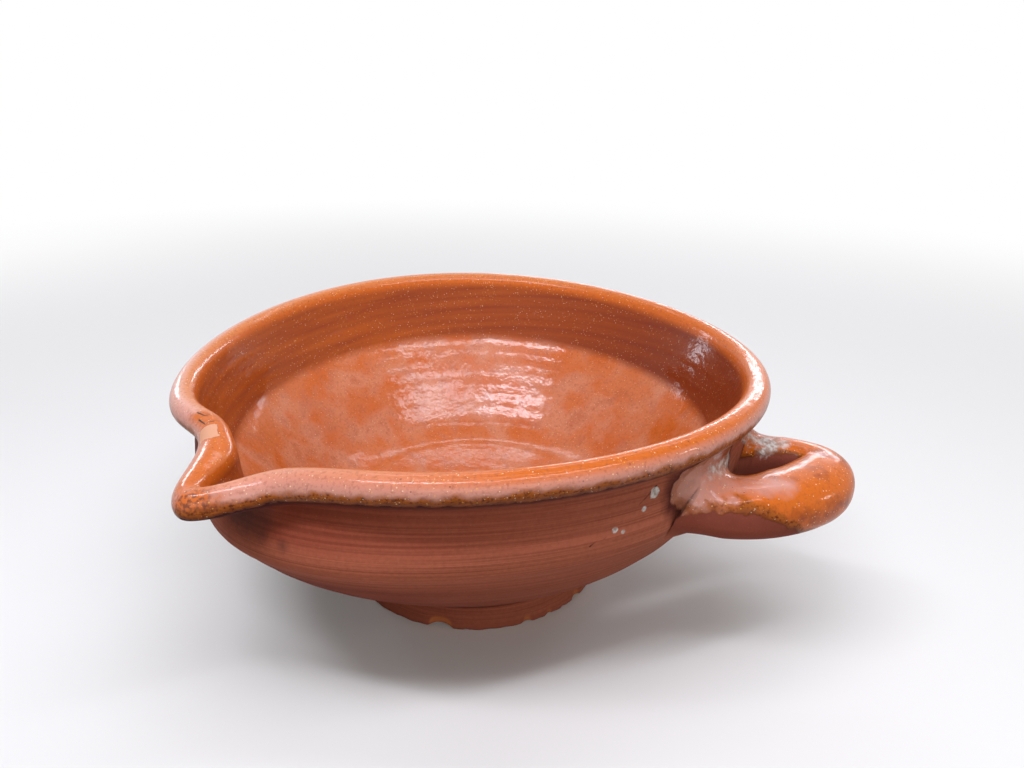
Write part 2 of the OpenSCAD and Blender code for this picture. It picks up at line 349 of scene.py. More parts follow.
WALL_ARC = arc_at(RIM_R - RIM_W, RIM_H - RIM_IN)
FLOOR_ARC = arc_at(CORNER_R, CORNER_H)
RING_ARC = arc_at(DISH_R, DISH_H)
print(len(section), "points, in millimetres past the crest from", round(arc[0]), "to", round(arc[-1]))
print("Inner wall, floor and dish from", round(WALL_ARC, 1), round(FLOOR_ARC, 1), round(RING_ARC, 1))

# %% [markdown]
# ## What the hands did
# The soft pot was then pulled and pushed. The mouth became slightly oval, the rim rises and falls on its
# way round, and one side was drawn out into a lip while the fingers pinched the rim beside it. Each of
# these is a smooth shift of the thrown points, so they are added up before the mesh is made. Sculpting
# could do the same by eye, but a sum of named shifts can be changed one by one.

# %% Sizes of the handling, in millimetres and degrees from the handle
# How far the mouth is longer than round, how far the rim rises twice on its way round, how far it leans
OVAL, OVAL_AT = 2.5, 112
SADDLE, SADDLE_AT, TILT, TILT_AT = 4.3, -46, 3, -25
# How far the lip stands out and is pushed down, and how far it and its channel reach along the rim
LIP_AT, LIP_REACH, LIP_DROP, LIP_DROP_W = -100, 25, 7, 32
LIP_LEFT, LIP_RIGHT, CHANNEL_LEFT, CHANNEL_RIGHT = 26, 16, 12, 12
# How far below the crest the pull on the lip begins and is whole, outside and inside
PULL_OUT, PULL_IN = (26, 11), (34, 3)
# The pinch in the rim beside the lip and the push in the wall below it
PINCH, PINCH_OFF, PINCH_HALF_W = 8, 46, 28
PUSH, PUSH_HALF_W = 12, 75


def degrees(length):
    """Degrees round the rim that a length along it covers."""
    return math.degrees(length / RIM_R)


def cosine(angle):
    return np.cos(np.radians(angle))


def turned_from(at, angle):
    """The way round from one angle to others, from -180 to 180 degrees."""
    return (angle - at + 540) % 360 - 180


def handled(angle, radius, height, side):
    """Thrown radii and heights at those angles, moved by the handling."""
    off = turned_from(LIP_AT, angle)
    low, out = height / RIM_H, radius / RIM_R
    high = mix(
        ease(RIM_H - PULL_OUT[0], RIM_H - PULL_OUT[1], height),
        ease(RIM_H - PULL_IN[0], RIM_H - PULL_IN[1], height),
        side,
    )
    left, right = mix(LIP_LEFT, CHANNEL_LEFT, side), mix(LIP_RIGHT, CHANNEL_RIGHT, side)
    lip = high * swell(off, np.degrees(np.where(off < 0, left, right) / RIM_R))
    sunk = high * swell(off, degrees(LIP_DROP_W))
    squeezed = mix(ease(TURN_H - TURN_ROUND, RIM_H - RIM_ROLL, height), high, side)
    nip = PINCH * squeezed * swell(off + degrees(PINCH_OFF), degrees(PINCH_HALF_W))
    shoved = ease(0, TURN_H, height) * (1 - ease(TURN_H, RIM_H, height))
    shove = PUSH * shoved * swell(off, degrees(PUSH_HALF_W))
    lean = SADDLE * cosine(2 * (angle - SADDLE_AT)) + TILT * cosine(angle - TILT_AT)
    radius = radius + OVAL * cosine(2 * (angle - OVAL_AT)) * low * out + LIP_REACH * lip - nip + shove * out
    return radius, height + lean * low * out - LIP_DROP * sunk


# %% [markdown]
# ## Throwing rings and small chips
# Fingers leave a spiral of shallow rings in the clay, and turning tools leave deeper ones on the slope of
# the base. They are real shapes, so they go into the mesh: the surface swings in and out along the section,
# and the phase turns with the angle, which makes the rings one long spiral. A bump pattern could fake
# them, but on the glazed floor it is their real slopes that break the lamps' mirror image into bands.
# The foot's edge is nibbled by wear: chips are pressed into it at a few places.

# %% Rings and chips
# Steps round the bowl, and how much closer they lie at the lip, from 0 to under 1
ROUND_STEPS, CROWDING = 436, 0.45
# Degrees from the handle, half the chip's width in degrees, and its depth in millimetres
FOOT_CHIPS = [
    (-77, 6, 3.0), (-66, 2, 0.6), (-40, 3, 1.3), (-29, 2.5, 1.1), (-21, 2, 0.6), (-12, 3.5, 1.6),
    (24, 3, 0.8), (66, 5, 2.2), (112, 3, 0.9), (158, 6, 2.6), (-150, 3, 1.0), (-118, 2, 0.6),
]
# How far from the foot's edge a chip reaches, and how far it cuts in and up for each millimetre of depth
CHIP_REACH, CHIP_SLANT = 5.5, 0.75
# The rings' height and distance apart on the floor, the inner wall, the slope and the band above it
FLOOR_RINGS, WALL_RINGS, SLOPE_RINGS, BAND_RINGS = (0.06, 8.3), (0.08, 6.4), (0.14, 9.5), (0.07, 4.4)
# Distances past the crest over which the slope's rings fade away, and the band's begin and fade away
SLOPE_ENDS, BAND_BEGINS, BAND_ENDS = (-78, -60), (-64, -52), (-34, -22)


def rings(arc, turns, height, apart):
    """The relief of a spiral of throwing rings about so many millimetres apart, which never quite repeats."""
    phase = 2 * np.pi * arc / apart + np.radians(turns)
    broad = 0.6 * np.sin(0.53 * phase + 0.7)
    fine = 0.35 * np.sin(1.71 * phase + 2.1) + 0.22 * np.sin(2.93 * phase)
    return height * (broad + 0.6 * np.sin(phase) + fine)


def relief(angle, arc):
    """How far the clay stands out from the smooth section, in millimetres."""
    wavy = arc + 1.1 * np.sin(np.radians(3 * angle + 40)) + 0.7 * np.sin(np.radians(5 * angle))
    floor_part = ease(FLOOR_ARC, FLOOR_ARC + 12, arc) * (1 - 0.5 * ease(RING_ARC, RING_ARC + 25, arc))
    wall_part = ease(WALL_ARC, WALL_ARC + 6, arc) * (1 - ease(FLOOR_ARC - 9, FLOOR_ARC - 2, arc))
    slope_part = 1 - ease(*SLOPE_ENDS, arc)
    band_part = ease(*BAND_BEGINS, arc) * (1 - ease(*BAND_ENDS, arc))
    out = floor_part * rings(wavy, angle, *FLOOR_RINGS)
    out += wall_part * rings(wavy, angle, *WALL_RINGS)
    out += slope_part * rings(wavy, angle, *SLOPE_RINGS)
    out += band_part * rings(wavy, angle, *BAND_RINGS)
    return out


def chip_depth(angle):
    """How far the foot's edge is broken back at those angles, in millimetres."""
    depth = 0.25 + 0.2 * np.sin(np.radians(37 * angle)) * np.sin(np.radians(11 * angle + 20))
    for at, half_width, deep in FOOT_CHIPS:
        off = turned_from(at, angle)
        depth = np.maximum(depth, deep * np.clip(1 - (off / half_width) ** 2, 0, 1))
    return depth


def by_foot_edge():
    """1 at the foot's edge, falling away from it, for each point of the section."""
    return swell(np.hypot(section[:, 0] - FOOT_R, section[:, 1]), CHIP_REACH)


# %% The body as a grid of points
def thrown_body():
    """Points of the body in millimetres, one row for each angle, with their angles and arcs."""
    t = np.arange(ROUND_STEPS) / ROUND_STEPS - 0.5
    turn = LIP_AT + 360 * t - np.degrees(CROWDING * np.sin(2 * np.pi * t))
    angle = np.repeat(turn[:, None], len(section), axis=1)
    arcs = np.repeat(arc[None, :], ROUND_STEPS, axis=0)
    radius, height = handled(angle, section[None, :, 0], section[None, :, 1], section[None, :, 2])
    depth = chip_depth(angle) * by_foot_edge()[None, :]
    radius -= CHIP_SLANT * depth
    height += CHIP_SLANT * depth * (section[None, :, 1] < FOOT_H)
    radians = np.radians(angle)
    points = np.stack([radius * np.cos(radians), radius * np.sin(radians), height], axis=-1)
    around = np.roll(points, -1, axis=0) - np.roll(points, 1, axis=0)
    onward = np.gradient(points, axis=1)
    outward = np.cross(around, onward)
    outward /= np.linalg.norm(outward, axis=-1, keepdims=True)
    return points + outward * relief(angle, arcs)[..., None], angle, arcs


body_points, body_angles, body_arcs = thrown_body()
print("Body grid", body_points.shape, "lowest", body_points[..., 2].min().round(2))


# %% A mesh from a grid
def grid_mesh(name, points, closed_rows, poles=()):
    """A mesh of quads over rows of points that join up end to end, with a pole or a cap at either end."""
    rows, columns = points.shape[:2]
    row_count = rows if closed_rows else rows - 1
    i, j = np.meshgrid(np.arange(row_count), np.arange(columns - closed_rows), indexing="ij")
    here, following = i * columns, (i + 1) % rows * columns
    beside = (j + 1) % columns
    quads = np.stack([here + j, following + j, following + beside, here + beside], axis=-1)
    faces = [tuple(int(v) for v in q) for q in quads.reshape(-1, 4)]
    vertices = [tuple(p * MM) for p in points.reshape(-1, 3)]
    if closed_rows:
        first = len(vertices)
        vertices += [tuple(np.array(p) * MM) for p in poles]
        for k in range(rows):
            after = (k + 1) % rows
            faces.append((first, after * columns, k * columns))
            faces.append((first + 1, k * columns + columns - 1, after * columns + columns - 1))
    else:
        faces.append(tuple(range(columns)))
        faces.append(tuple((rows - 1) * columns + k for k in reversed(range(columns))))
    mesh = bpy.data.meshes.new(name)
    mesh.from_pydata(vertices, [], faces)
    mesh.update()
    return mesh


body_mesh = grid_mesh("body", body_points, True, [(0, 0, 0), (0, 0, FLOOR_H)])
print("Body mesh", len(body_mesh.polygons), "faces")

# %% [markdown]
# ## The loop handle
# The potter rolled a thick coil, pressed its fat end onto the wall, swung it out and brought it back
# beside itself. In mesh terms a rounded oblong is swept along a curve, thinning toward the back root, and
# both roots spread where the clay was smeared onto the wall. A curve object with a bevel could sweep it
# too, but working out the rings here lets them spread, lean and carry the edge of the glaze.

# %% Sizes of the handle, in millimetres and degrees from the X axis
# Its reach and slant, the places of its two roots, how deep they go in, and how high they lie over the tip
HANDLE_REACH, HANDLE_SLANT, HANDLE_FRONT, HANDLE_BACK, ROOT_IN = 58, 24, -18, 4, 6
HANDLE_H, HANDLE_RISE, HANDLE_BACK_RISE = 93, 5, 2
# Width and height of the coil and of its thin root, and how far both roots spread sideways and upward
HANDLE_W, HANDLE_BACK_W, HANDLE_T, HANDLE_BACK_T = 34, 20, 27, 22
HANDLE_SPREAD, HANDLE_FLARE = 8, 4
# How hard the curve pulls away at either root, as shares of its reach, and how far round it swings
FRONT_STRETCH, FRONT_SWING, BACK_STRETCH = 0.8, 12, 1.93
# Where along the loop it thins, how sharply its roots spread, how they lean, and how square its section is
SLIM_FROM, SLIM_TO, ROOT_POWER, WALL_LEAN, SQUARENESS = 0.45, 0.95, 10, 0.2, 0.85
LOOP_STEPS, LOOP_SIDES = 110, 60
# Height above the loop's middle where its glaze ends: at the thick root and farther on, and in the gap
DRIP_FROM, DRIP_ALONG, GAP_FROM = (5, -19), (0.15, 0.47), 7


def heading(angle):
    return np.array([math.cos(math.radians(angle)), math.sin(math.radians(angle))])


def loop_plan(t):
    """The curve that the loop follows, seen from above."""
    root_r = RIM_R - WALL_INSET - ROOT_IN
    arch = HANDLE_REACH - HANDLE_W / 2 + ROOT_IN
    front, back = root_r * heading(HANDLE_FRONT), root_r * heading(HANDLE_BACK)
    front_pull = front + FRONT_STRETCH * arch * heading(HANDLE_FRONT + FRONT_SWING)
    back_pull = back + BACK_STRETCH * arch * heading(HANDLE_SLANT)
    front_half = (1 - t) ** 3 * front + 3 * (1 - t) ** 2 * t * front_pull
    return front_half + 3 * (1 - t) * t**2 * back_pull + t**3 * back


def loop_grid():
    """Points of the handle in millimetres, ring by ring, and how far each lies above the glaze's edge."""
    points = np.zeros((LOOP_STEPS + 1, LOOP_SIDES, 3))
    glaze = np.zeros((LOOP_STEPS + 1, LOOP_SIDES))
    round_angle = np.linspace(0, 2 * np.pi, LOOP_SIDES, endpoint=False)
    across = np.sign(np.cos(round_angle)) * np.abs(np.cos(round_angle)) ** SQUARENESS
    upward = np.sign(np.sin(round_angle)) * np.abs(np.sin(round_angle)) ** SQUARENESS
    for i in range(LOOP_STEPS + 1):
        t = i / LOOP_STEPS
        here = loop_plan(t)
        ahead = loop_plan(min(1, t + 0.01)) - loop_plan(max(0, t - 0.01))
        side = np.array([ahead[1], -ahead[0]]) / np.linalg.norm(ahead)
        root = abs(2 * t - 1) ** ROOT_POWER
        slim = ease(SLIM_FROM, SLIM_TO, t)
        half_wide = mix(HANDLE_W, HANDLE_BACK_W, slim) / 2 + HANDLE_SPREAD * root
        up = (mix(HANDLE_T, HANDLE_BACK_T, slim) / 2 + HANDLE_FLARE * root) * upward
        outward = here / np.linalg.norm(here)
        flat = here + np.outer(half_wide * across, side) + np.outer(WALL_LEAN * root * up, outward)
        rise = HANDLE_RISE if t < 0.5 else HANDLE_BACK_RISE
        middle = HANDLE_H + rise * (2 * t - 1) ** 2
        points[i] = np.column_stack([flat, middle + up])
        glazed_from = mix(mix(*DRIP_FROM, ease(*DRIP_ALONG, t)), GAP_FROM, ease(0, 0.8, -across))
        glaze[i] = up - glazed_from
    return points, glaze


loop_points, loop_glaze = loop_grid()
loop_mesh = grid_mesh("loop", loop_points[:, ::-1], False)
print("Loop mesh", len(loop_mesh.polygons), "faces")

# %% [markdown]
# ## One piece of clay
# Body and loop are joined by a boolean union, then the sharp seam is smoothed away, as wet clay is with a
# thumb. Only points near the seam move: each goes part of the way to the middle of its neighbours, over
# and over. A voxel remesh would join them as well, but it would also melt the rings and the foot's chips.

# %% Union of body and loop
# Millimetres from the seam where smoothing ends, the share of them that it fills whole, the share of the
# way that a point goes in each round, and the rounds
SEAM_REACH, SEAM_CORE, SEAM_PULL, SEAM_ROUNDS = 22, 0.35, 0.5, 110
# Millimetres past the crest over which the smoothing fades, so that the rim above the loop keeps its roll
RIM_KEPT = (-26, -19)


def joined(first, second, name):
    """A new mesh that is the union of two."""
    objects = [bpy.data.objects.new(m.name, m) for m in (first, second)]
    for o in objects:
        scene.collection.objects.link(o)
    union = objects[0].modifiers.new("union", "BOOLEAN")
    union.operation, union.solver, union.object = "UNION", "EXACT", objects[1]
    depsgraph = bpy.context.evaluated_depsgraph_get()
    mesh = bpy.data.meshes.new_from_object(objects[0].evaluated_get(depsgraph))
    for o in objects:
        bpy.data.objects.remove(o)
    mesh.name = name
    return mesh


bowl_mesh = joined(body_mesh, loop_mesh, "bowl")
print("Union:", len(bowl_mesh.vertices), "points", len(bowl_mesh.polygons), "faces")


# %% Smoothing the seam
def coordinates(mesh):
    values = np.empty(len(mesh.vertices) * 3, np.float32)
    mesh.vertices.foreach_get("co", values)
    return values.reshape(-1, 3).astype(float)


def tree_of(points):
    finder = KDTree(len(points))
    for k, p in enumerate(points):
        finder.insert(p, k)
    finder.balance()
    return finder


body_flat = body_points.reshape(-1, 3) * MM
loop_flat = loop_points.reshape(-1, 3) * MM
whole = np.concatenate([body_flat, loop_flat])
whole_tree = tree_of(whole)
at = coordinates(bowl_mesh)
origin = np.array([whole_tree.find(p)[1] for p in at])
from_loop = origin >= len(body_flat)

ends = np.empty(len(bowl_mesh.edges) * 2, np.int32)
bowl_mesh.edges.foreach_get("vertices", ends)
ends = ends.reshape(-1, 2)
crossing = from_loop[ends[:, 0]] != from_loop[ends[:, 1]]
seam = np.unique(ends[crossing])
seam_tree = tree_of(at[seam])
to_seam = np.array([seam_tree.find(p)[2] for p in at]) / MM
weight = SEAM_PULL * (1 - ease(SEAM_REACH * SEAM_CORE, SEAM_REACH, to_seam))
on_body = np.minimum(origin, len(body_flat) - 1)
own_arc = np.where(from_loop, 0, body_arcs.reshape(-1)[on_body])
weight = weight * np.where(from_loop, 1, 1 - ease(*RIM_KEPT, own_arc))
near = (weight[ends[:, 0]] > 0) | (weight[ends[:, 1]] > 0)
a, b = ends[near, 0], ends[near, 1]
count = np.bincount(a, minlength=len(at)) + np.bincount(b, minlength=len(at))
for _ in range(SEAM_ROUNDS):
    total = np.zeros_like(at)
    for axis in range(3):
        total[:, axis] = np.bincount(a, at[b, axis], len(at)) + np.bincount(b, at[a, axis], len(at))
    middle = total / np.maximum(count, 1)[:, None]
    at = at + (middle - at) * (weight * (count > 0))[:, None]
bowl_mesh.vertices.foreach_set("co", at.astype(np.float32).ravel())
bowl_mesh.update()
print("Seam of", len(seam), "points smoothed,", int((weight > 0).sum()), "points moved")

# %% [markdown]
# ## Where things are on the pot
# The materials need to know where they are: how far over the rim a point lies, and how far from the edge
# of the glaze. Each point gets these as named values in millimetres, which the nodes read back. Faces
# could be sorted into a glazed and a bare material instead, but the glaze's edge is finer than a face.

# %% Arc, glaze and handle values for every point
# The glaze ends this far down the outside, and on the wall it runs round the thick root in a lobe
GLAZE_EDGE = -15.5
LOBE_FROM, LOBE_TO, LOBE_R = (139, -60, 111.5), (149, -38, 116), 12.5
# Farther below the glaze's edge than any point lies
NO_GLAZE = -99
# The depth of a chip where the fresh clay begins to show, and where it shows whole
FRESH_FROM, FRESH_TO = 0.5, 1.2


def from_line(points, start, end):
    """How far points lie from the line between two places."""
    start, way = np.array(start, float), np.array(end, float) - np.array(start)
    share = np.clip((points - start) @ way / (way @ way), 0, 1)
    return np.linalg.norm(points - start - share[:, None] * way, axis=1)


own_loop = loop_glaze.reshape(-1)[np.maximum(origin - len(body_flat), 0)]
lobe = LOBE_R - from_line(at / MM, LOBE_FROM, LOBE_TO)
body_glaze = np.maximum(own_arc - GLAZE_EDGE, np.where(own_arc < 0, lobe, NO_GLAZE))
glaze = np.where(from_loop, np.maximum(own_loop, lobe), body_glaze)


def give(mesh, name, values):
    """Stores a number at every point, under a name that a material can read."""
    layer = mesh.attributes.new(name, "FLOAT", "POINT")
    layer.data.foreach_set("value", values.astype(np.float32))


give(bowl_mesh, "arc", own_arc)
give(bowl_mesh, "glaze", glaze)
give(bowl_mesh, "loop", from_loop)
grid_depth = chip_depth(body_angles) * by_foot_edge()[None, :]
fresh = np.where(from_loop, 0, grid_depth.reshape(-1)[on_body])
give(bowl_mesh, "fresh", ease(FRESH_FROM, FRESH_TO, fresh))
for polygon in bowl_mesh.polygons:
    polygon.use_smooth = True
triangles = sum(len(p.vertices) - 2 for p in bowl_mesh.polygons)
print("Bowl:", triangles, "triangles")

# %% [markdown]
# ## Marks on the clay
# A material can find a place on the pot by its coordinates. A blot is everything within a radius of a
# point, with a ragged edge made by noise. A stroke is everything close to a line between two points.
# Specks come from Voronoi cells: each cell has one middle, and a chance that decides how big its speck is.
# A painted picture could hold all these marks, but what is worked out from places stays sharp close up.


# %% Noise and paint
def noise_in(tree, place, size, detail, low, high):
    """Noise about so many millimetres in size, stretched so that low becomes 0 and high becomes 1."""
    value = add(tree, "TexNoise", {"Vector": place, "Scale": every(size), "Detail": float(detail)})
    return add(tree, "MapRange", {"Value": value, "From Min": low, "From Max": high})


def strongest(tree, shares):
    """The largest of several shares."""
    largest = shares[0]
    for share in shares[1:]:
        largest = add(tree, "Math", {0: largest, 1: share}, operation="MAXIMUM")
    return largest


def painted(tree, ground, *coats):
    """A ground with coats over it in turn. A coat is where it goes (0 to 1), its strength and its colour."""
    for where, strength, over in coats:
        if strength != 1:
            where = add(tree, "Math", {0: where, 1: strength}, operation="MULTIPLY")
        under, over = (colour(c) if isinstance(c, str) else c for c in (ground, over))
        ground = add(tree, "Mix", {"Factor": where, "A": under, "B": over}, data_type="RGBA")
    return ground


# %% Blots and strokes
# How strongly the noise moves a mark's edge, as a share of its radius
RAGGED = 1.6


def within(tree, away, ragged, radius, edge):
    """1 where a distance is under a radius in millimetres, with a ragged edge so many millimetres soft."""
    away = add(tree, "Math", {0: ragged, 1: -radius * RAGGED * MM, 2: away}, operation="MULTIPLY_ADD")
    limits = {"Value": away, "From Min": (radius + edge / 2) * MM, "From Max": (radius - edge / 2) * MM}
    return add(tree, "MapRange", limits)


def blot(tree, place, ragged, centre, radius, edge):
    """1 inside a ragged ball round a centre, 0 outside it."""
    middle = [c * MM for c in centre]
    away = add(tree, "VectorMath", {0: place, 1: middle}, operation="DISTANCE").node.outputs["Value"]
    return within(tree, away, ragged, radius, edge)


def stroke(tree, place, ragged, start, end, radius, edge):
    """1 close to the line from one point to another, 0 elsewhere, with a ragged edge."""
    first, way = Vector(start) * MM, (Vector(end) - Vector(start)) * MM
    from_first = add(tree, "VectorMath", {0: place, 1: first}, operation="SUBTRACT")
    share = add(tree, "VectorMath", {0: from_first, 1: way / way.length_squared}, operation="DOT_PRODUCT")
    share = add(tree, "Clamp", {"Value": share.node.outputs["Value"]})
    foot = add(tree, "VectorMath", {0: way, "Scale": share}, operation="SCALE")
    away = add(tree, "VectorMath", {0: from_first, 1: foot}, operation="DISTANCE").node.outputs["Value"]
    return within(tree, away, ragged, radius, edge)


# %% Specks
def specks(tree, place, apart, radius, share):
    """1 on small specks of up to a radius in millimetres, in the given share of the cells, in swarms."""
    cells = add(tree, "TexVoronoi", {"Vector": place, "Scale": every(apart)}).node.outputs
    chance = add(tree, "SeparateColor", {"Color": cells["Color"]})
    swarm = noise_in(tree, place, 9 * apart, 3, 0.40, 0.62)
    fewest = add(tree, "MapRange", {"Value": swarm, "To Min": 1 - 0.25 * share, "To Max": 1 - share})
    reach = add(tree, "MapRange", {"Value": chance, "From Min": fewest, "To Max": radius / apart})
    inside = add(tree, "Math", {0: reach, 1: cells["Distance"]}, operation="SUBTRACT")
    return add(tree, "MapRange", {"Value": inside, "From Max": 0.25 * radius / apart})


# %% [markdown]
# ## Lead-glazed earthenware
# Red iron-rich clay with a clear lead glaze poured round the inside and over the rim. Where the glaze is
# thick it is honey orange, where it is thin the red clay shows, and grit and small bubbles in it make
# pale and dark specks. Its ragged edge is burnt to a golden brown. The bare clay below is matt, with fine
# turning lines that run round the pot. Both are one material, mixed by the distance to the glaze's edge:
# first come their colours and the places of the marks, then a function for each part of the finish.

# %% Colours of the glaze
GLAZE_WALL, GLAZE_WALL_DARK, GLAZE_WALL_RIGHT = "#aa500f", "#8a390d", "#70250b"
GLAZE_FLOOR, GLAZE_HONEY, GLAZE_PINK, GLAZE_FLOOR_DARK = "#c46a3a", "#c25e20", "#cc8a6c", "#a84e26"
GLAZE_LOOP, GLAZE_LOOP_DARK, GLAZE_THIN_AND_SHEEN = "#c8600e", "#96400c", "#cb978b"
GLAZE_RIM_HONEY, GLAZE_GRAIN = "#c8621a", "#7e3416"
BURNT_GOLD, BURNT_BROWN, NOSE_BROWN_AND_SHADE = "#a4561c", "#602a12", "#70300f"
SPECK_PALE, SPECK_YELLOW, SPECK_DARK = "#f5dcb4", "#e8a848", "#2e130c"
# The rim's glaze at distances in millimetres past the crest: mauve outside it, honey inside it. The pale pink
# on the crest and the mauve band outside it are partly the thin glaze's own colour and partly painted
# reflection
RIM_ZONES_AND_SHEEN = [
    (-16, "#a2562c"), (-9.5, "#c98b79"), (-5, "#d29484"), (-1, "#d89a82"),
    (2.5, "#cf7a44"), (8, GLAZE_RIM_HONEY), (14, "#b0540e"),
]

# %% Colours of the bare clay, and of what lies on it
# The pale and the dark clay also serve as painted light and painted shade on the pot's two sides
CLAY_DARK_AND_SHADED, CLAY_PALE_AND_LIT, CLAY_SHADE_AND_SCRATCH, CLAY_LOOP = "#5c2519", "#b0654c", "#421a18", "#8a4536"
LIME, LIME_DARK, SMOKE, FRESH_CLAY, FRESH_PALE = "#d8d1cb", "#a3948a", "#3c2b28", "#b8683e", "#d89c7c"
# The clay at distances in millimetres past the crest, from under the foot up to the glaze. Besides the clay's
# own tone they hold painted light on the foot's face and on the band at the turn, and painted shade on the
# slope under the turn and under the rim
CLAY_ZONES_LIT_AND_SHADED = [
    (-176, "#9c543e"), (-162, "#a0543e"), (-154, "#60281b"), (-120, "#703123"),
    (-76, "#843e2d"), (-62, "#bf694e"), (-50, "#c56f53"), (-42, "#a3503a"),
    (-30, "#8c3f2b"), (-21, "#581f1a"), (-15, "#3f1716"),
]

# %% Places of the marks
# Blots are (place, radius, softness of the edge) and strokes (start, end, radius, softness), in
# millimetres from the middle of the foot
LIME_STROKES = [
    ((141.5, -47, 113), (147, -29, 111), 3.0, 8), ((153, 4, 112), (162, 13, 107), 5.6, 6),
    ((158, 5, 103), (168, 16, 106), 2.6, 5), ((149, 3, 117), (153, 6, 110), 3.4, 5),
]
LIME_SPOTS = [
    ((126.9, -79.3, 114.9), 2.6, 0.8), ((123.9, -83.8, 109), 1.2, 0.8),
    ((115.6, -95.4, 102.9), 1.4, 0.8), ((118.5, -92.5, 101), 1.2, 0.8),
]
SMOKE_BLOTS = [((-22, -155.5, 107), 11, 10), ((-31, -153, 103), 7, 8), ((-4, -159, 97.5), 2.2, 4)]
# The blot on top of the lip's nose is its burnt glaze, and the one under it is painted shade
NOSE_TOP, NOSE_UNDER_SHADE = ((-25, -184, 118), 13, 9), ((-17, -178, 112.5), 9, 7)
HONEY_FLANK = ((-58, -144, 127), (-39, -171, 126), 10, 7)
# Where the glaze is thin it is pale pink, partly its own colour and partly painted sheen on the loop
THIN_STROKES = [((137, -62, 112), (148, -50, 114), 12, 8), ((150, -49, 112), (173, -33, 110), 6, 7)]
# The patch where the glaze has flaked off the lip: its middle, its two ways, half its length and width,
# and the blot round its middle that nothing of it passes
PATCH_AT, PATCH_ALONG, PATCH_ACROSS = (-59, -138.5, 127.8), (0.62, -0.78, -0.08), (0.68, 0.48, 0.55)
PATCH_HALF_L, PATCH_HALF_W, PATCH_LIMIT = 5.4, 4.6, 12
# Scratches and cracks are lines from start to end, with a radius and a softness for them all
WALL_SCRATCHES = [((127, -79, 118), (112, -99, 100)), ((121, -87, 113), (108, -104, 98))]
RIM_CRACKS = [
    ((-76, -127.5, 129.5), (-70, -129, 130)), ((-70, -129, 130), (-66, -125, 130.2)),
    ((-71.4, -131.3, 128.3), (-65, -134, 128.6)), ((-65, -134, 128.6), (-62, -131, 130)),
]
SCRATCH_SIZE, CRACK_SIZE = (0.5, 0.4), (0.32, 0.25)
# Specks are the millimetres between them, their largest radius and the share of places that have one
PALE_SPECKS, YELLOW_SPECKS, DARK_SPECKS = (1.2, 0.37, 0.8), (1.5, 0.44, 0.75), (2.6, 0.5, 0.4)
print("Strokes and spots of lime:", len(LIME_STROKES), len(LIME_SPOTS), "cracks:", len(RIM_CRACKS))


# %% Colours by place
def zones(tree, arc_mm, stops):
    """A colour that changes with the distance past the rim's crest: stops pair distances with hex codes."""
    first, last = stops[0][0], stops[-1][0]
    share = add(tree, "MapRange", {"Value": arc_mm, "From Min": float(first), "From Max": float(last)})
    shown = add(tree, "ValToRGB", {"Fac": share})
    elements = shown.node.color_ramp.elements
    for distance, _ in stops[1:-1]:
        elements.new((distance - first) / (last - first))
    for element, (_, code) in zip(elements, stops):
        element.color = colour(code)
    return shown


def past(tree, arc_mm, start, end):
    """0 up to a distance past the crest, 1 from a farther one on."""
    return add(tree, "MapRange", {"Value": arc_mm, "From Min": float(start), "From Max": float(end)})


def sideways(tree, place, start, end):
    """0 at one distance in millimetres toward the handle and 1 at another."""
    across = add(tree, "SeparateXYZ", {"Vector": place}).node.outputs["X"]
    return add(tree, "MapRange", {"Value": across, "From Min": start * MM, "From Max": end * MM})


def turned_lines(tree, place, arc_mm, fine, low, high):
    """Noise drawn out into lines that run round the pot, some per millimetre of the section."""
    across = add(tree, "CombineXYZ", {"X": add(tree, "Math", {0: arc_mm, 1: fine}, operation="MULTIPLY")})
    slow = add(tree, "VectorMath", {0: place, "Scale": 16.0}, operation="SCALE")
    lines = add(tree, "VectorMath", {0: across, 1: slow}, operation="ADD")
    lines = add(tree, "TexNoise", {"Vector": lines, "Scale": 1.0, "Detail": 5.0})
    return add(tree, "MapRange", {"Value": lines, "From Min": low, "From Max": high})


# %% The glaze's colours
def rim_colours(tree, place, arc_mm, rightward, patches):
    """Zones over the rim with painted reflection on its crest and outside, where the honey inside spreads
    outward toward the handle and on the lip.
    """
    rightmost = add(tree, "Math", {0: rightward, 1: rightward}, operation="MULTIPLY")
    honey = add(tree, "Math", {0: rightmost, 1: 1.3}, operation="MULTIPLY", use_clamp=True)
    honey = strongest(tree, [honey, stroke(tree, place, patches, *HONEY_FLANK)])
    honey = add(tree, "Math", {0: honey, 1: past(tree, arc_mm, -9.5, -4.5)}, operation="MULTIPLY")
    return painted(tree, zones(tree, arc_mm, RIM_ZONES_AND_SHEEN), (honey, 1, GLAZE_RIM_HONEY))


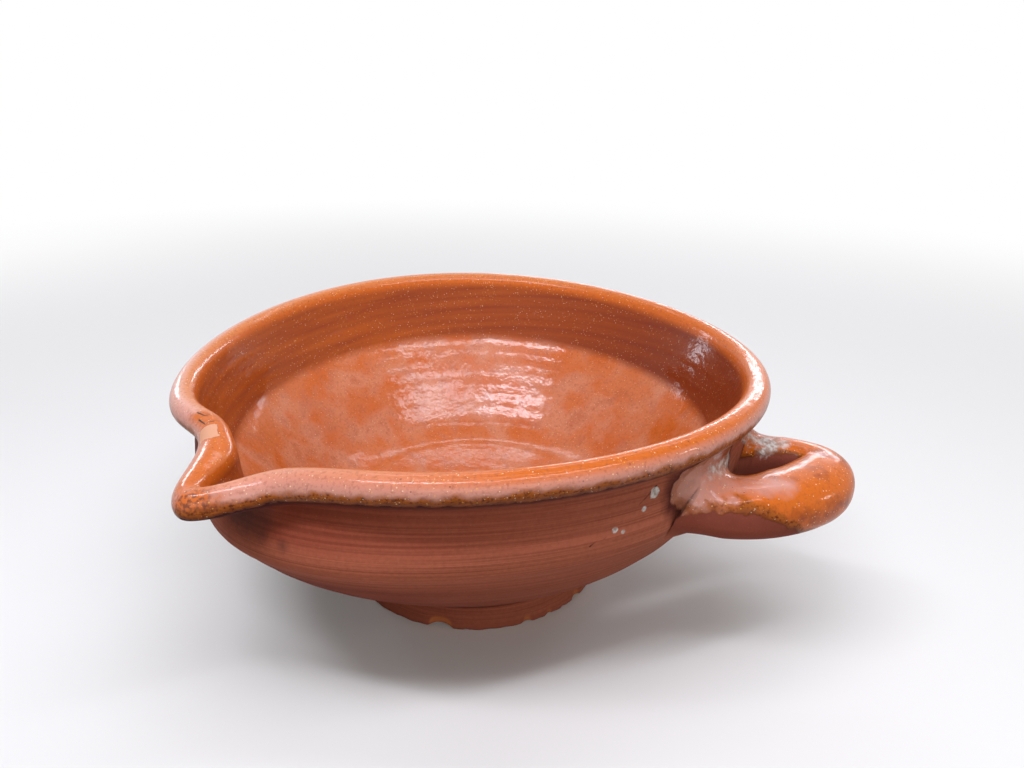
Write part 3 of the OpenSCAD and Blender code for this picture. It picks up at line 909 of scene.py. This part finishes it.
def glaze_colours(tree, place, arc_mm, on_loop, thin):
    """The colour of the glazed surface by where it lies on the section, or on the loop."""
    patches = noise_in(tree, place, 30, 5, 0.42, 0.60)
    blush = noise_in(tree, place, 22, 5, 0.46, 0.62)
    deep = noise_in(tree, place, 11, 5, 0.52, 0.70)
    grain = noise_in(tree, place, 1.5, 3, 0.50, 0.72)
    streaks = turned_lines(tree, place, arc_mm, 0.2, 0.3, 0.7)
    rightward = sideways(tree, place, -130, 120)
    floor_marks = (patches, 1, GLAZE_HONEY), (blush, 0.55, GLAZE_PINK), (deep, 0.5, GLAZE_FLOOR_DARK)
    floor_part = painted(tree, GLAZE_FLOOR, *floor_marks)
    wall_part = painted(tree, GLAZE_WALL_DARK, (streaks, 1, GLAZE_WALL), (rightward, 0.75, GLAZE_WALL_RIGHT))
    inside = painted(tree, wall_part, (past(tree, arc_mm, FLOOR_ARC - 3, FLOOR_ARC + 3), 1, floor_part))
    rim_part = rim_colours(tree, place, arc_mm, rightward, patches)
    loop_part = painted(tree, GLAZE_LOOP, (deep, 1, GLAZE_LOOP_DARK))
    whole_glaze = painted(tree, rim_part, (past(tree, arc_mm, 8.5, 13), 1, inside), (on_loop, 1, loop_part))
    thinned = add(tree, "MapRange", {"Value": blush, "To Min": 0.5, "To Max": 0.85})
    thinned = add(tree, "Math", {0: thin, 1: thinned}, operation="MULTIPLY")
    return painted(tree, whole_glaze, (grain, 0.35, GLAZE_GRAIN), (thinned, 1, GLAZE_THIN_AND_SHEEN))


# %% The burnt edge and the lip's nose
def burnt_share(tree, edge, thin):
    """1 in the last few millimetres of the glaze, less where it is thin."""
    burnt = add(tree, "MapRange", {"Value": edge, "From Min": 6.0, "From Max": 3.6})
    thin = add(tree, "Math", {0: thin, 1: 0.55}, operation="MULTIPLY")
    return add(tree, "Math", {0: burnt, 1: thin}, operation="SUBTRACT", use_clamp=True)


def scorched(tree, place, ragged, edge, burnt, paint):
    """The glaze's colours with the lip's nose and the glaze's edge burnt to gold and brown in fine grains,
    and painted shade under the nose.
    """
    freckles = noise_in(tree, place, 1.6, 4, 0.46, 0.60)
    freckled = painted(tree, GLAZE_LOOP, (freckles, 1, NOSE_BROWN_AND_SHADE))
    top = blot(tree, place, ragged, *NOSE_TOP)
    # Painted shade on the underside of the lip's nose
    under = blot(tree, place, ragged, *NOSE_UNDER_SHADE)
    grain = noise_in(tree, place, 1.3, 3, 0.44, 0.66)
    last = add(tree, "MapRange", {"Value": edge, "From Min": 3.5, "From Max": -0.5})
    burnt_paint = painted(tree, BURNT_GOLD, (strongest(tree, [grain, last]), 1, BURNT_BROWN))
    return painted(tree, paint, (top, 0.85, freckled), (under, 0.8, NOSE_BROWN_AND_SHADE), (burnt, 1, burnt_paint))


# %% The bare clay's colours
def flaked_patch(tree, place, ragged):
    """1 on the patch of the lip that has lost its glaze: an oblong with a ragged edge."""
    from_patch = add(tree, "VectorMath", {0: place, 1: Vector(PATCH_AT) * MM}, operation="SUBTRACT")
    shares = []
    for way, half_size in ((PATCH_ALONG, PATCH_HALF_L), (PATCH_ACROSS, PATCH_HALF_W)):
        toward = Vector(way).normalized() / (half_size * MM)
        share = add(tree, "VectorMath", {0: from_patch, 1: toward}, operation="DOT_PRODUCT")
        shares.append(add(tree, "Math", {0: share.node.outputs["Value"]}, operation="ABSOLUTE"))
    reach = strongest(tree, shares)
    reach = add(tree, "Math", {0: ragged, 1: 0.9, 2: reach}, operation="MULTIPLY_ADD")
    flaked = add(tree, "MapRange", {"Value": reach, "From Min": 1.06, "From Max": 0.94})
    near = blot(tree, place, ragged, PATCH_AT, PATCH_LIMIT, 1)
    return add(tree, "Math", {0: flaked, 1: near}, operation="MULTIPLY")


def clay_colours(tree, place, arc_mm):
    """The bare clay's colour: zones up the section with painted light and shade, mottled, with painted side
    light and fine lines.
    """
    mottle = noise_in(tree, place, 18, 6, 0.40, 0.70)
    grain = noise_in(tree, place, 1.8, 4, 0.35, 0.75)
    lines = turned_lines(tree, place, arc_mm, 1.1, 0.40, 0.66)
    # Painted light on the side toward the handle and painted shade on the far side
    rightward, shaded_left = sideways(tree, place, 0, 130), sideways(tree, place, 30, -80)
    broad = (mottle, 0.2, CLAY_PALE_AND_LIT), (rightward, 0.8, CLAY_PALE_AND_LIT), (shaded_left, 0.75, CLAY_DARK_AND_SHADED)
    fine = (lines, 0.4, CLAY_DARK_AND_SHADED), (grain, 0.2, CLAY_DARK_AND_SHADED)
    return painted(tree, zones(tree, arc_mm, CLAY_ZONES_LIT_AND_SHADED), *broad, *fine)


def worn_clay(tree, place, ragged, arc_mm, edge, on_loop, fresh, flaked):
    """The bare clay with a dark band of painted shade under the glaze, smoke, scratches, fresh chips and the
    flaked patch.
    """
    # Painted shade: a dark band under the glaze's edge, where the rim's cove shades the wall, fainter on the
    # loop
    line = add(tree, "MapRange", {"Value": edge, "From Min": -8.0, "From Max": -1.0, "To Max": 0.9})
    fainter = add(tree, "Math", {0: on_loop, 1: -0.75}, operation="MULTIPLY")
    line = add(tree, "Math", {0: fainter, 1: line, 2: line}, operation="MULTIPLY_ADD")
    paint = painted(tree, clay_colours(tree, place, arc_mm), (on_loop, 0.9, CLAY_LOOP), (line, 1, CLAY_SHADE_AND_SCRATCH))
    for mark in SMOKE_BLOTS:
        paint = painted(tree, paint, (blot(tree, place, ragged, *mark), 0.5, SMOKE))
    for start, end in WALL_SCRATCHES:
        scratch = stroke(tree, place, ragged, start, end, *SCRATCH_SIZE)
        paint = painted(tree, paint, (scratch, 1, CLAY_SHADE_AND_SCRATCH))
    return painted(tree, paint, (fresh, 1, FRESH_CLAY), (flaked, 1, FRESH_PALE))


# %% Specks, cracks and limescale
def speckled(tree, place, arc_mm, edge, pale, paint):
    """The paint with specks of three colours in the glaze, fewer on the floor of the bowl."""
    yellow, dark = specks(tree, place, *YELLOW_SPECKS), specks(tree, place, *DARK_SPECKS)
    on_glaze = add(tree, "MapRange", {"Value": edge, "To Min": 0.03, "To Max": 0.55})
    fewer = add(tree, "MapRange", {"Value": past(tree, arc_mm, 9, 15), "To Min": 1.0, "To Max": 0.65})
    on_glaze = add(tree, "Math", {0: on_glaze, 1: fewer}, operation="MULTIPLY")
    for mark, hue in ((yellow, SPECK_YELLOW), (pale, SPECK_PALE), (dark, SPECK_DARK)):
        shown = add(tree, "Math", {0: mark, 1: on_glaze}, operation="MULTIPLY")
        paint = painted(tree, paint, (shown, 1, hue))
    return paint


def cracked(tree, place, ragged, paint):
    """The paint with the fine dark cracks beside the flaked patch."""
    for start, end in RIM_CRACKS:
        crack = stroke(tree, place, ragged, start, end, *CRACK_SIZE)
        paint = painted(tree, paint, (crack, 1, SPECK_DARK))
    return paint


def limescale(tree, place, ragged):
    """How thick the crust of lime lies by the loop's roots and in spots on the wall, and its colour."""
    marks = [stroke(tree, place, ragged, *mark) for mark in LIME_STROKES]
    marks += [blot(tree, place, ragged, *mark) for mark in LIME_SPOTS]
    crust = noise_in(tree, place, 2.6, 5, 0.40, 0.60)
    lime = add(tree, "Math", {0: crust, 1: 0.3, 2: strongest(tree, marks)}, operation="MULTIPLY_ADD")
    lime = add(tree, "MapRange", {"Value": lime, "From Min": 0.4, "From Max": 1.15})
    return lime, painted(tree, LIME_DARK, (crust, 1, LIME))


# %% Gloss and relief
# A lead glaze mirrors like glass. Its coat is laid on at these shares and not whole, because this one is
# worn dull, and because a whole coat would veil its colour with the mirror image of the white studio
COAT_BRIGHT, COAT_DULL, COAT_MORE_ON_FLOOR, COAT_BURNT_OFF = 0.38, 0.1, 0.14, 0.8
ROUGH_BARE, ROUGH_GLAZED = 0.66, 0.36


def glaze_coat(tree, place, arc_mm, thin, burnt, glossy):
    """How much clear coat lies on each place: most on the floor, least where thin, worn or burnt."""
    worn = add(tree, "Math", {0: noise_in(tree, place, 9, 4, 0.50, 0.80), 1: 0.35}, operation="MULTIPLY")
    thin = add(tree, "Math", {0: thin, 1: 0.5}, operation="MULTIPLY")
    dull = strongest(tree, [worn, thin])
    coat = add(tree, "MapRange", {"Value": dull, "To Min": COAT_BRIGHT, "To Max": COAT_DULL})
    on_floor = past(tree, arc_mm, FLOOR_ARC - 3, FLOOR_ARC + 8)
    coat = add(tree, "Math", {0: on_floor, 1: COAT_MORE_ON_FLOOR, 2: coat}, operation="MULTIPLY_ADD")
    left = add(tree, "Math", {0: burnt, 1: -COAT_BURNT_OFF, 2: 1.0}, operation="MULTIPLY_ADD")
    coat = add(tree, "Math", {0: coat, 1: left}, operation="MULTIPLY")
    return add(tree, "Math", {0: coat, 1: glossy}, operation="MULTIPLY")


def fine_relief(tree, place, glazed, pale, lime):
    """Bump in millimetres: slow waves, pores, specks and lime in the glaze, and grit on the bare clay."""
    wavy = add(tree, "TexNoise", {"Vector": place, "Scale": every(8), "Detail": 2.0})
    pores = add(tree, "TexNoise", {"Vector": place, "Scale": every(1.7), "Detail": 2.0})
    grit = add(tree, "TexNoise", {"Vector": place, "Scale": every(0.9), "Detail": 3.0})
    height = add(tree, "Math", {0: wavy, 1: 0.28}, operation="MULTIPLY")
    for pattern, high in ((pores, 0.08), (pale, 0.06), (lime, 0.5)):
        height = add(tree, "Math", {0: pattern, 1: high, 2: height}, operation="MULTIPLY_ADD")
    rough_height = add(tree, "Math", {0: grit, 1: 0.12}, operation="MULTIPLY")
    height = add(tree, "Mix", {"Factor": glazed, "A": rough_height, "B": height}, data_type="FLOAT")
    return add(tree, "Bump", {"Height": height, "Strength": 1.0, "Distance": MM})


# %% The clay and its glaze
def glazed_earthenware():
    """Red earthenware, bare and matt outside and under a glossy lead glaze inside and over the rim."""
    material, tree = new_material("lead-glazed earthenware")
    place = add(tree, "TexCoord").node.outputs["Object"]
    names = ("arc", "glaze", "loop", "fresh")
    stored = [add(tree, "Attribute", attribute_name=name).node.outputs["Fac"] for name in names]
    arc_mm, glaze_mm, on_loop, fresh = stored
    ragged = add(tree, "TexNoise", {"Vector": place, "Scale": every(6), "Detail": 5.0})
    ragged = add(tree, "Math", {0: ragged, 1: 0.5}, operation="SUBTRACT")

    edge = add(tree, "Math", {0: ragged, 1: 8.0, 2: glaze_mm}, operation="MULTIPLY_ADD")
    flaked = flaked_patch(tree, place, ragged)
    glazed = add(tree, "MapRange", {"Value": edge, "From Min": -0.35, "From Max": 0.35})
    glazed = add(tree, "Math", {0: glazed, 1: flaked}, operation="SUBTRACT", use_clamp=True)
    thin = strongest(tree, [stroke(tree, place, ragged, *mark) for mark in THIN_STROKES])
    burnt = burnt_share(tree, edge, thin)
    pale = specks(tree, place, *PALE_SPECKS)
    lime, lime_paint = limescale(tree, place, ragged)

    glaze_paint = glaze_colours(tree, place, arc_mm, on_loop, thin)
    glaze_paint = scorched(tree, place, ragged, edge, burnt, glaze_paint)
    clay_paint = worn_clay(tree, place, ragged, arc_mm, edge, on_loop, fresh, flaked)
    paint = painted(tree, clay_paint, (glazed, 1, glaze_paint))
    paint = speckled(tree, place, arc_mm, edge, pale, paint)
    paint = painted(tree, cracked(tree, place, ragged, paint), (lime, 1, lime_paint))

    glossy = add(tree, "Math", {0: glazed, 1: lime}, operation="SUBTRACT", use_clamp=True)
    coat = glaze_coat(tree, place, arc_mm, thin, burnt, glossy)
    roughness = add(tree, "MapRange", {"Value": glossy, "To Min": ROUGH_BARE, "To Max": ROUGH_GLAZED})
    relief_normal = fine_relief(tree, place, glazed, pale, lime)
    shader = add(tree, "BsdfPrincipled", {
        "Base Color": paint, "Roughness": roughness, "Specular IOR Level": 0.06, "Normal": relief_normal,
        "Coat Weight": coat, "Coat Roughness": 0.09, "Coat IOR": 1.5, "Coat Normal": relief_normal,
    })
    add(tree, "OutputMaterial", {"Surface": shader})
    print(material.name, "has", len(tree.nodes), "nodes")
    return material


# %% [markdown]
# ## The dressed bowl
# The mesh gets its material and takes the place of the plain solid bowl in the frame.

# %% The bowl in the frame
bowl = bpy.data.objects.new("bowl_dressed", bowl_mesh)
bowl_mesh.materials.clear()
bowl_mesh.materials.append(glazed_earthenware())
scene.collection.objects.link(bowl)
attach(bowl, "root")
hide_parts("bowl")
